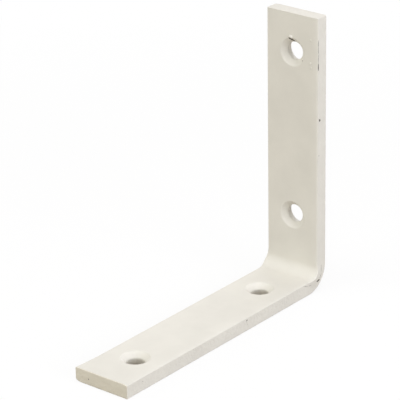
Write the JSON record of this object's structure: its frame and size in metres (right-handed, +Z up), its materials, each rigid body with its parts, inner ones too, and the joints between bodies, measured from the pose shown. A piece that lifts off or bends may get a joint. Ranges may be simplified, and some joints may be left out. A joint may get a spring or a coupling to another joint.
{
  "type": "angle bracket",
  "caption": "Flat steel bar bent to a right angle, painted off-white, with countersunk screw holes in both legs, for joining or bracing two timber faces at a corner.",
  "frame": {"origin": "middle of the bounding box on the underside of the base leg, halfway across the bar", "axes": "+X along the base leg from the heel to its free end, +Y across the bar's width, +Z up the upright leg"},
  "size_m": [0.101, 0.0216, 0.0945],
  "materials": {
    "painted_steel": "satin off-white paint, chipped at a few edges"
  },
  "bodies": {
    "root": {"angle_bracket": "painted_steel"}
  },
  "joints": []
}
